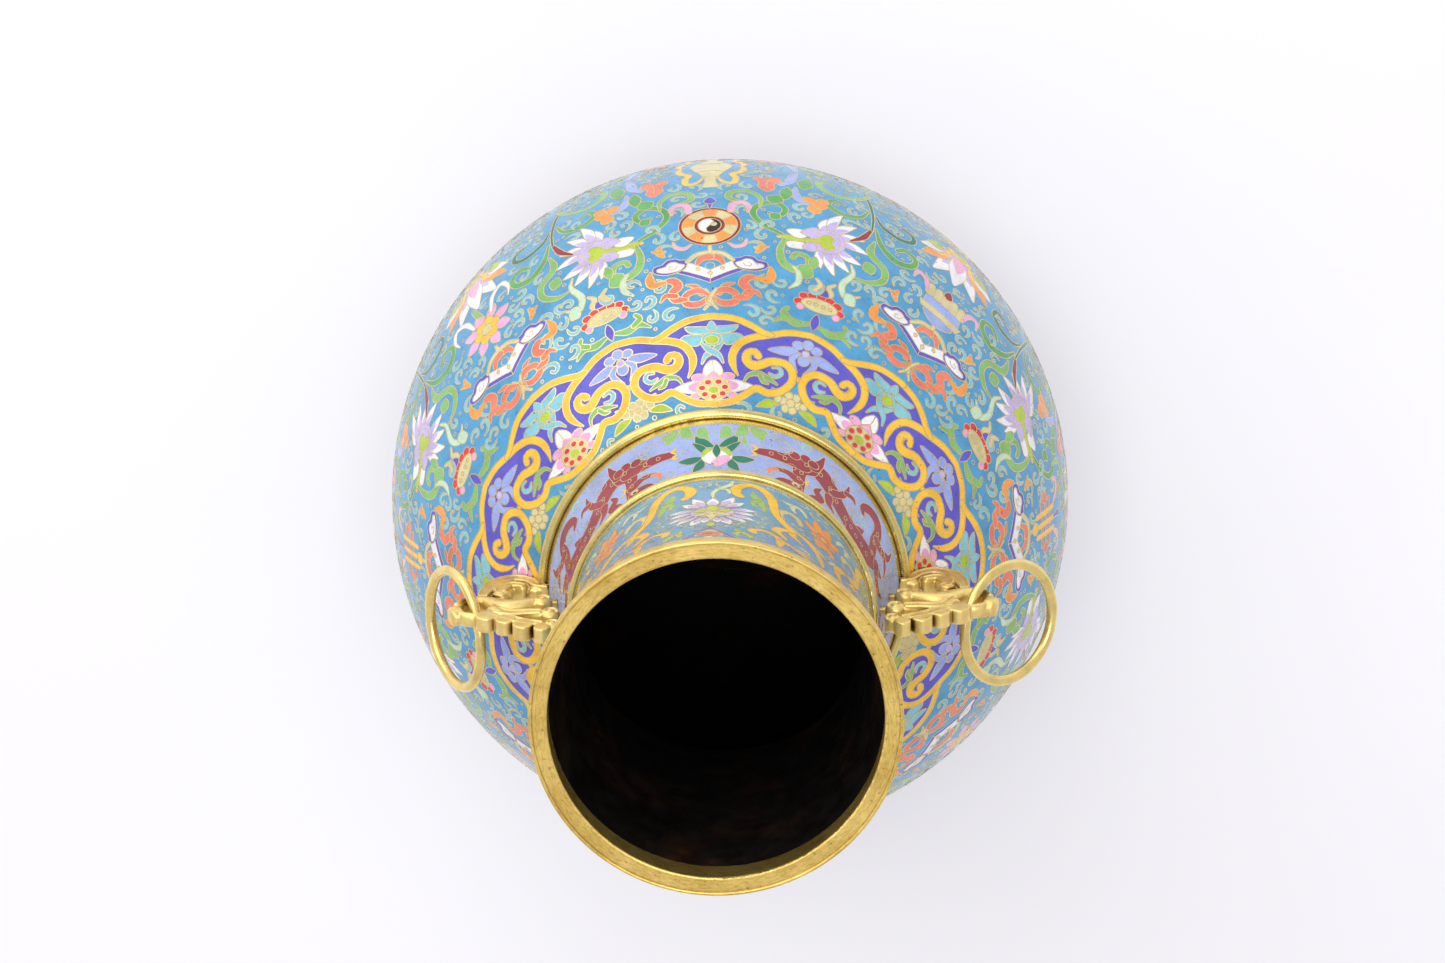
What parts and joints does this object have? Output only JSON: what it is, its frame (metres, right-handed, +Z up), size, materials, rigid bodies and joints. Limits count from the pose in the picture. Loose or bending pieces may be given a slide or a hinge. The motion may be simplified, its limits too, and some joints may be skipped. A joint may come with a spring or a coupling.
{
  "type": "cloisonne vase",
  "caption": "Globular enamelled vase with a tapering neck, gilt rims and cords, and scroll handles that carry loose rings.",
  "frame": {"origin": "centre of the foot's underside, on the surface that the vase stands on", "axes": "+Z up the vase's axis to the mouth; the two handles stand on the X axis, ring_right's on +X; the front of the enamel pattern faces +Y"},
  "size_m": [0.2834, 0.2834, 0.418],
  "materials": {
    "copper": "dark patinated copper",
    "turquoise_enamel": "polished fired enamel with gilt wires, turquoise ground",
    "lavender_enamel": "polished fired enamel with gilt wires, lavender ground",
    "gilt_bronze": "worn brushed gilding"
  },
  "bodies": {
    "vase": {"body_lower_shell": "copper", "body_upper_shell": "copper", "neck_lower_shell": "copper", "neck_upper_shell": "copper", "foot_shell": "copper", "base_plate": "copper", "body_lower_enamel": "turquoise_enamel", "body_upper_enamel": "turquoise_enamel", "neck_upper_enamel": "turquoise_enamel", "foot_enamel": "turquoise_enamel", "neck_lower_enamel": "lavender_enamel", "mouth_rim": "gilt_bronze", "upper_neck_ring": "gilt_bronze", "lower_neck_ring": "gilt_bronze", "foot_collar": "gilt_bronze", "foot_rim": "gilt_bronze", "handle_left": "gilt_bronze", "handle_right": "gilt_bronze"},
    "left_ring": {"ring_left": "gilt_bronze"},
    "right_ring": {"ring_right": "gilt_bronze"}
  },
  "joints": [
    {"name": "left_ring_swing", "type": "hinge", "parent": "vase", "child": "left_ring", "pos_m": [-0.094, 0, 0.292], "axis": [0, 1, 0], "range_deg": [-30.4, 179]},
    {"name": "right_ring_swing", "type": "hinge", "parent": "vase", "child": "right_ring", "pos_m": [0.094, 0, 0.292], "axis": [0, -1, 0], "range_deg": [-50, 159]}
  ]
}
